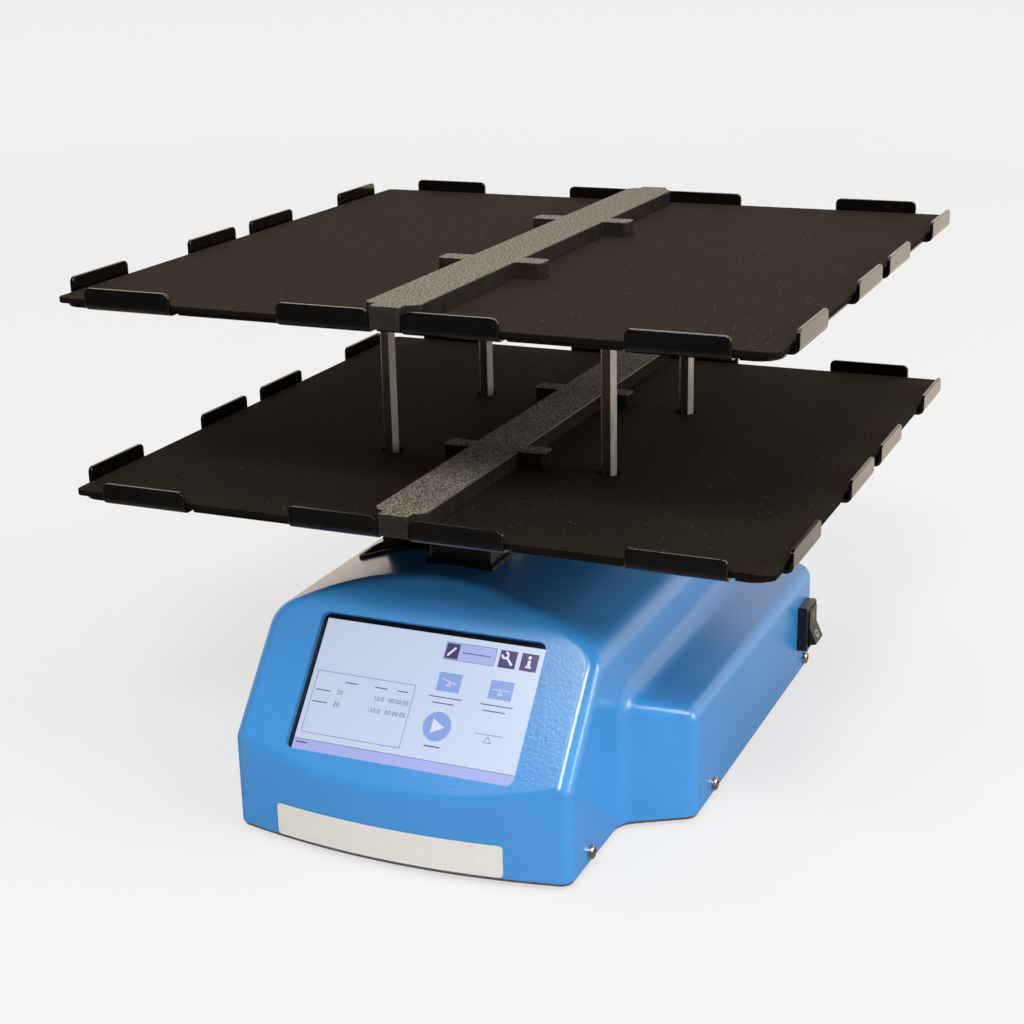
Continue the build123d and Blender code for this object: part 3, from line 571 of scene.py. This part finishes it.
def screwsOnPoints(name, pattern, spots, material):
    # spots are pairs of a point and the way its screw faces
    cloud = bpy.data.meshes.new(name + "Points")
    cloud.from_pydata([point for point, way in spots], [], [])
    ways = cloud.attributes.new("way", "FLOAT_VECTOR", "POINT")
    for k, (point, way) in enumerate(spots):
        ways.data[k].vector = way
    piece = addObject(name, cloud)
    work = piece.modifiers.new("screws", "NODES")
    work.node_group = screwTree(name + "Tree", material)
    sockets = {i.name: i.identifier for i in work.node_group.interface.items_tree if i.in_out == "INPUT"}
    work[sockets["Pattern"]] = pattern
    work[sockets["Size"]] = rimScrew["size"]
    work[sockets["Turn seed"]] = rimScrew["turnSeed"]
    bakeModifiers(piece)
    return piece


def rimSpots():
    low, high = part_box("housing_screws")
    middle = (low.z + high.z) / 2
    return [
        ((side * reach * mm, y * mm, middle), (side, 0, 0))
        for reach, y in rimScrew["spots"]
        for side in (-1, 1)
    ]


headPattern = crossRecessHead()
rimScrews = screwsOnPoints("rimScrews", headPattern, rimSpots(), finishes["screw_steel"])
bpy.data.objects.remove(headPattern)
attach(rimScrews, "base")
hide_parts("housing_screws")
print("rim screws placed")


screenPlace = {
    "frontY": -155.3,  # foot of the sloped panel, mm
    "crease": 33.5,
    "lean": 40.0,  # degrees from upright
    "x": 0.8,  # middle of the picture, across and up the slope
    "along": 39.9,
    "glassDepth": 2.5,
    "left": -47.52,  # edges of the picture from its middle
    "right": 49.3,
    "bottom": -28.9,
    "top": 26.93,
    "corner": 2.4,
    "statusTop": -24.1,
}
screenInk = {
    "ground": makeBackLight("screenGround", "#CFDDF7"),
    "bar": makeBackLight("screenLilac", "#B0B9F3"),
    "violet": makeBackLight("screenViolet", "#4B3A78", 0.9),
    "sky": makeBackLight("screenSky", "#94B2F2", 0.9),
    "white": makeBackLight("screenWhite", "#E6EEFC", 0.92),
    "line": makeBackLight("screenLine", "#7F7CC0", 0.8),
    "text": makeBackLight("screenText", "#6C6A96", 0.75),
}
screenDrawing = {  # mm from the picture's middle; boxes are left, bottom, right, top
    "table": (-45.3, -21.2, -1.5, 4.7),
    "editFrame": (6.8, 17.2, 28.6, 24.4),
    "editFill": (7.0, 17.3, 28.5, 24.3),
    "tiles": [(7.2, 17.6, 12.9, 23.9), (30.3, 17.1, 37.5, 24.3), (39.4, 17.1, 46.5, 24.3)],
    "keys": [(7.2, 4.1, 17.1, 11.8), (29.4, 4.1, 39.3, 11.8)],
    "playDisc": (11.8, -10.2, 6.0),
    "playMark": [(9.6, -13.2), (15.2, -10.2), (9.6, -7.2)],
    "pencil": ((8.4, 18.9), (11.3, 22.3), 0.95),
    "pencilTip": [(8.0, 18.4), (8.9, 18.7), (8.3, 19.2)],
    "spannerShank": ((33.2, 21.6), (36.0, 18.5), 1.0),
    "spannerJaw": (32.5, 22.3, 1.7, 0.75, 132, 42),
    "infoDot": (42.9, 22.7, 0.75),
    "infoStem": [(42.3, 18.6, 43.6, 21.5), (41.7, 18.4, 44.2, 19.1)],
    "seesaws": [(12.1, 8.4, 3.6, 16, 0.3), (34.3, 8.0, 3.6, 0, 0.3)],
    "levelMark": (33.9, -10.2, 5.8, 0, 0.26),
    "dashes": [
        (-32, 1.3, 5.6), (-18.5, 1.3, 5.4), (-8.6, 1.3, 4.6), (-44, -3.2, 6.6), (-44.2, -8.2, 6.6),
        (14.5, 20.7, 12.2), (5.2, 1.6, 14.0), (7.0, -0.8, 9.4), (27.2, 1.6, 13.8), (28.8, -0.8, 9.6),
    ],
    "boldDashes": [(8.4, -18.4, 6.8), (-46.2, -25.5, 5.0)],
    "numbers": [
        ("20", -34.6, -4.0), ("10.0", -18.0, -4.0), ("00:00:05", -11.6, -4.0),
        ("20", -34.8, -9.0), ("-10.0", -19.3, -9.0), ("00:00:05", -11.8, -9.0),
    ],
    "numberSize": 2.7,
}
lean = radians(screenPlace["lean"])
upSlope = Vector((0, sin(lean), cos(lean)))
outSlope = Vector((0, -cos(lean), sin(lean)))


def onScreen(u, v, lift):
    # a point of the picture, in millimetres from its middle, lift mm above the glass
    spot = Vector((screenPlace["x"] + u, screenPlace["frontY"], screenPlace["crease"]))
    spot += upSlope * (screenPlace["along"] + v)
    spot -= outSlope * (screenPlace["glassDepth"] - lift)
    return spot * mm


def flatShapes(name, shapes, ink, lift):
    work = bmesh.new()
    for outline in shapes:
        work.faces.new([work.verts.new(onScreen(u, v, lift)) for u, v in outline])
    bmesh.ops.triangulate(work, faces=work.faces)
    newPiece(name, meshFrom(work, name), screenInk[ink], "base")


def rectangle(left, bottom, right, top):
    return [(left, bottom), (right, bottom), (right, top), (left, top)]


def stroke(a, b, width):
    # a straight line drawn with a pen of this width
    run = Vector((b[0] - a[0], b[1] - a[1]))
    side = Vector((-run.y, run.x)).normalized() * width / 2
    return [
        (a[0] - side.x, a[1] - side.y),
        (b[0] - side.x, b[1] - side.y),
        (b[0] + side.x, b[1] + side.y),
        (a[0] + side.x, a[1] + side.y),
    ]


def closedLine(corners, width):
    return [stroke(a, b, width) for a, b in zip(corners, corners[1:] + corners[:1])]


def spannerJaw(u, v, outer, inner, mouth, gap):
    # a ring broken round the angle mouth by gap degrees each way
    steps = 18
    turns = [radians(mouth + gap + k * (360 - 2 * gap) / steps) for k in range(steps + 1)]
    rim = [(u + outer * cos(a), v + outer * sin(a)) for a in turns]
    return rim + [(u + inner * cos(a), v + inner * sin(a)) for a in reversed(turns)]


def seesaw(u, v, half, tilt, width):
    # a beam on a triangular foot
    run, rise = half * cos(radians(tilt)), half * sin(radians(tilt))
    base, peak, foot = v - 0.55 * half, v - 0.12 * half, 0.27 * half
    triangle = [(u - foot, base), (u + foot, base), (u, peak)]
    return [stroke((u - run, v + rise), (u + run, v - rise), width)] + closedLine(triangle, width)


def dashes(rows, height):
    # each row is the dash's start, its place up the picture and its length
    return [rectangle(u, v - height / 2, u + length, v + height / 2) for u, v, length in rows]


def writeNumber(name, text, u, v):
    curve = bpy.data.curves.new("number", "FONT")
    curve.body = text
    curve.size = screenDrawing["numberSize"]
    curve.resolution_u = 2
    holder = addObject("number", curve)
    mesh = finishedMesh(holder)
    bpy.data.objects.remove(holder)
    for vertex in mesh.vertices:
        vertex.co = onScreen(u + vertex.co.x, v + vertex.co.y, 0.13)
    newPiece(name, mesh, screenInk["text"], "base")


def drawScreen():
    draw = screenDrawing
    left, right, low, top, corner, status = (
        screenPlace[key] for key in ("left", "right", "bottom", "top", "corner", "statusTop")
    )
    turns = [radians(15 * k) for k in range(7)]
    bend = [(right - corner + corner * sin(a), low + corner - corner * cos(a)) for a in turns]
    flatShapes("screenPicture", [[(right, top), (left, top), (left, low)] + bend], "ground", 0.03)
    bar = [(left, status), (left, low)] + bend + [(right, status)]
    flatShapes("screenStatusBar", [bar, rectangle(*draw["editFill"])], "bar", 0.06)
    lines = closedLine(rectangle(*draw["table"]), 0.22) + closedLine(rectangle(*draw["editFrame"]), 0.22)
    lines += [stroke((left, status), (right, status), 0.25)] + seesaw(*draw["levelMark"])
    flatShapes("screenLines", lines, "line", 0.09)
    flatShapes("screenTiles", [rectangle(*tile) for tile in draw["tiles"]], "violet", 0.10)
    keys = [rectangle(*key) for key in draw["keys"]] + [ring(*draw["playDisc"], 48)]
    flatShapes("screenKeys", keys, "sky", 0.09)
    marks = [stroke(*draw["pencil"]), draw["pencilTip"]]
    marks += [stroke(*draw["spannerShank"]), spannerJaw(*draw["spannerJaw"])]
    marks += [ring(*draw["infoDot"], 20)] + [rectangle(*part) for part in draw["infoStem"]]
    marks += [draw["playMark"]]
    for place in draw["seesaws"]:
        marks += seesaw(*place)
    flatShapes("screenMarks", marks, "white", 0.13)
    words = dashes(draw["dashes"], 0.42) + dashes(draw["boldDashes"], 0.55)
    flatShapes("screenWordBars", words, "text", 0.13)
    for k, (text, u, v) in enumerate(draw["numbers"]):
        writeNumber("screenNumber" + str(k), text, u, v)


drawScreen()
print("screen drawn")


switchPlace = {
    "pivotX": 102.2,  # mm
    "y": 85.5,
    "z": 27.4,
    "tilt": 12.0,  # degrees, pressed at O
    "tip": 5.2,  # the paddle's ends and the dip between them, from the pivot
    "dip": 1.8,
    "half": 8.5,
    "bar": (-0.35, 3.2, 0.35, 6.2),
    "circle": (0, 4.7),
    "circleRadii": (1.25, 1.75),
    "ink": "#E8E6E2",
}


def onPaddle(side, across, along, lift=0.03):
    # a point on one of the paddle's two faces: side +1 is the upper one
    rise = switchPlace["dip"] / switchPlace["half"]
    local = Vector((switchPlace["tip"] - switchPlace["dip"] + rise * along + lift, across, side * along))
    turned = Matrix.Rotation(radians(-switchPlace["tilt"]), 4, "Y") @ local
    return (turned + Vector((switchPlace["pivotX"], switchPlace["y"], switchPlace["z"]))) * mm


def switchMarks():
    work = bmesh.new()
    work.faces.new([work.verts.new(onPaddle(1, a, b)) for a, b in rectangle(*switchPlace["bar"])])
    inner, outer = (
        [work.verts.new(onPaddle(-1, a, b)) for a, b in ring(*switchPlace["circle"], radius, 32)]
        for radius in switchPlace["circleRadii"]
    )
    for k in range(len(inner)):
        work.faces.new((inner[k - 1], outer[k - 1], outer[k], inner[k]))
    work.normal_update()
    for face in work.faces:
        if face.normal.x < 0:
            face.normal_flip()
    ink = makePrintedInk("whitePadPrint", switchPlace["ink"])
    newPiece("switchMarks", meshFrom(work, "switchMarks"), ink, bodyOf["switch_paddle"])


switchMarks()
print("switch marked")


stage = {
    "pale": "#F2F2F2",  # backdrop and floor as the camera sees them
    "warm": "#FBE9D6",  # the backdrop in reflections
    "reach": 6.0,  # metres from the floor's middle to its edge
    "shade": 0.24,  # how much of the floor's shading the camera sees
    "glow": {"From Min": 0.3, "From Max": 2.8, "To Min": 0.99, "To Max": 1.19},  # by metres away
    "nearShadow": {"From Min": 0.1, "From Max": 0.5, "To Min": 0.3, "To Max": 1.0},  # painted shadow: the floor in reflections darkens close to the object
    "roomLight": 0.27,
    "roomColour": "#F6F5F3",
    "rightShare": 0.3,  # reflections brighten towards the right and the back
    "backShare": 0.85,
    "room": {"From Min": -0.55, "From Max": 0.4, "To Min": 0.05, "To Max": 1.25},
}


def backdropGlow(tree, axes):
    # bright towards the back and the right, dark behind the camera
    right = addNode(tree, "ShaderNodeMath", {1: stage["rightShare"]}, {0: axes["X"]}, operation="MULTIPLY")
    back = addNode(tree, "ShaderNodeMath", {1: stage["backShare"]}, {0: axes["Y"]}, operation="MULTIPLY")
    both = addNode(tree, "ShaderNodeMath", links={0: right, 1: back}, operation="ADD")
    return addNode(
        tree, "ShaderNodeMapRange", stage["room"], {"Value": both}, interpolation_type="SMOOTHSTEP"
    )


def byRay(tree, lighting, mirrored, seen):
    # one shader lights the object, one shows in its reflections and one is what the camera sees
    rays = addNode(tree, "ShaderNodeLightPath").outputs
    shiny = addNode(
        tree,
        "ShaderNodeMath",
        links={0: rays["Is Glossy Ray"], 1: rays["Is Transmission Ray"]},
        operation="MAXIMUM",
    )
    around = addNode(tree, "ShaderNodeMixShader", links={0: shiny, 1: lighting, 2: mirrored})
    return addNode(tree, "ShaderNodeMixShader", links={0: rays["Is Camera Ray"], 1: around, 2: seen})


def makeFloor():
    floor = addObject("floor", bpy.data.meshes.new("floor"))
    reach = stage["reach"]
    corners = [(x, y, 0) for x, y in rectangle(-reach, -reach, reach, reach)]
    floor.data.from_pydata(corners, [], [(0, 1, 2, 3)])
    # matt paper sweep: even and pale to the eye, darker in reflections where the room is dark, and darker
    # still in reflections close to the object, a painted shadow
    material, tree, surface, place = newMaterial(
        "paleSweepPaper", {"Roughness": 0.8, "Specular IOR Level": 0.05}
    )
    layFinish(tree, surface, (grain(tree, place, 300, 1), [(0.3, "#EDEDED"), (0.7, "#F2F2F2")]))
    far = addNode(tree, "ShaderNodeVectorMath", links={0: place}, operation="LENGTH").outputs["Value"]
    level = addNode(tree, "ShaderNodeMapRange", stage["glow"], {"Value": far})
    glow = addNode(tree, "ShaderNodeEmission", {"Color": linear(stage["pale"])}, {"Strength": level})
    seen = addNode(tree, "ShaderNodeMixShader", {0: stage["shade"]}, {1: glow, 2: surface})
    axes = addNode(tree, "ShaderNodeSeparateXYZ", links={"Vector": place}).outputs
    # painted shadow round the object, in the floor's reflections
    nearShadowLevel = addNode(tree, "ShaderNodeMapRange", stage["nearShadow"], {"Value": far})
    bright = backdropGlow(tree, axes)
    both = addNode(tree, "ShaderNodeMath", links={0: bright, 1: nearShadowLevel}, operation="MULTIPLY")
    mirror = addNode(tree, "ShaderNodeEmission", {"Color": linear(stage["warm"])}, {"Strength": both})
    mirrored = addNode(tree, "ShaderNodeMixShader", {0: 0.04}, {1: mirror, 2: surface})
    floorLook = byRay(tree, surface, mirrored, seen)
    tree.links.new(floorLook.outputs[0], tree.nodes["Material Output"].inputs["Surface"])
    setMaterial(floor, material)


def makeWorld():
    world = bpy.data.worlds.new("softRoom")
    bpy.context.scene.world = world
    world.use_nodes = True
    tree = world.node_tree
    tree.nodes.clear()
    way = addNode(tree, "ShaderNodeTexCoord").outputs["Generated"]
    axes = addNode(tree, "ShaderNodeSeparateXYZ", links={"Vector": way}).outputs
    soft = {"Color": linear(stage["roomColour"]), "Strength": stage["roomLight"]}
    light = addNode(tree, "ShaderNodeBackground", soft)
    bright = backdropGlow(tree, axes)
    mirror = addNode(tree, "ShaderNodeBackground", {"Color": linear(stage["warm"])}, {"Strength": bright})
    backdrop = addNode(tree, "ShaderNodeBackground", {"Color": linear(stage["pale"]), "Strength": 1.0})
    addNode(tree, "ShaderNodeOutputWorld", links={"Surface": byRay(tree, light, mirror, backdrop)})


lamps = {  # place and size in metres, power in watts
    "topLamp": {"spot": (0.1, 0.25, 2.0), "size": 1.4, "power": 11},
    "panelLamp": {"spot": (-0.5, -1.28, 1.8), "size": 0.25, "power": 6},
    "frontLamp": {"spot": (0.4, -1.35, 1.65), "size": 0.45, "power": 22},
    "edgeLamp": {"spot": (1.5, -0.52, 1.68), "size": 0.5, "power": 11},
    "sideLamp": {"spot": (2.1, 0.2, 0.8), "size": 0.8, "power": 20},
}
lampAim = Vector((0, 0, 0.1))  # inside the housing


def makeLamps():
    for name, lamp in lamps.items():
        data = bpy.data.lights.new(name, "AREA")
        data.size = lamp["size"]
        data.energy = lamp["power"]
        holder = addObject(name, data)
        holder.location = lamp["spot"]
        holder.rotation_euler = (lampAim - Vector(lamp["spot"])).to_track_quat("-Z", "Y").to_euler()


cameraPlace = {
    "spot": (309.2, -728.8, 363.2),  # mm
    "turn": 0.416,  # radians
    "rise": 0.3215,
    "roll": -0.0213,
    "focalPixels": 1864.4,  # in a picture of this many pixels
    "pixels": 1024,
    "sensor": 36.0,  # mm
}


def makeCamera():
    turn, rise, roll = cameraPlace["turn"], cameraPlace["rise"], cameraPlace["roll"]
    back = Vector((sin(turn) * cos(rise), -cos(turn) * cos(rise), sin(rise)))
    right = Vector((cos(turn), sin(turn), 0))
    up = back.cross(right)
    rolledRight = right * cos(roll) + up * sin(roll)
    rolledUp = up * cos(roll) - right * sin(roll)
    data = bpy.data.cameras.new("camera")
    data.sensor_width = cameraPlace["sensor"]
    data.lens = cameraPlace["sensor"] * cameraPlace["focalPixels"] / cameraPlace["pixels"]
    data.clip_start = 0.01
    camera = addObject("camera", data)
    axes = Matrix((rolledRight, rolledUp, back)).transposed().to_4x4()
    camera.matrix_world = Matrix.Translation(Vector(cameraPlace["spot"]) * mm) @ axes
    bpy.context.scene.camera = camera


makeFloor()
makeWorld()
makeLamps()
makeCamera()
print("stage set")
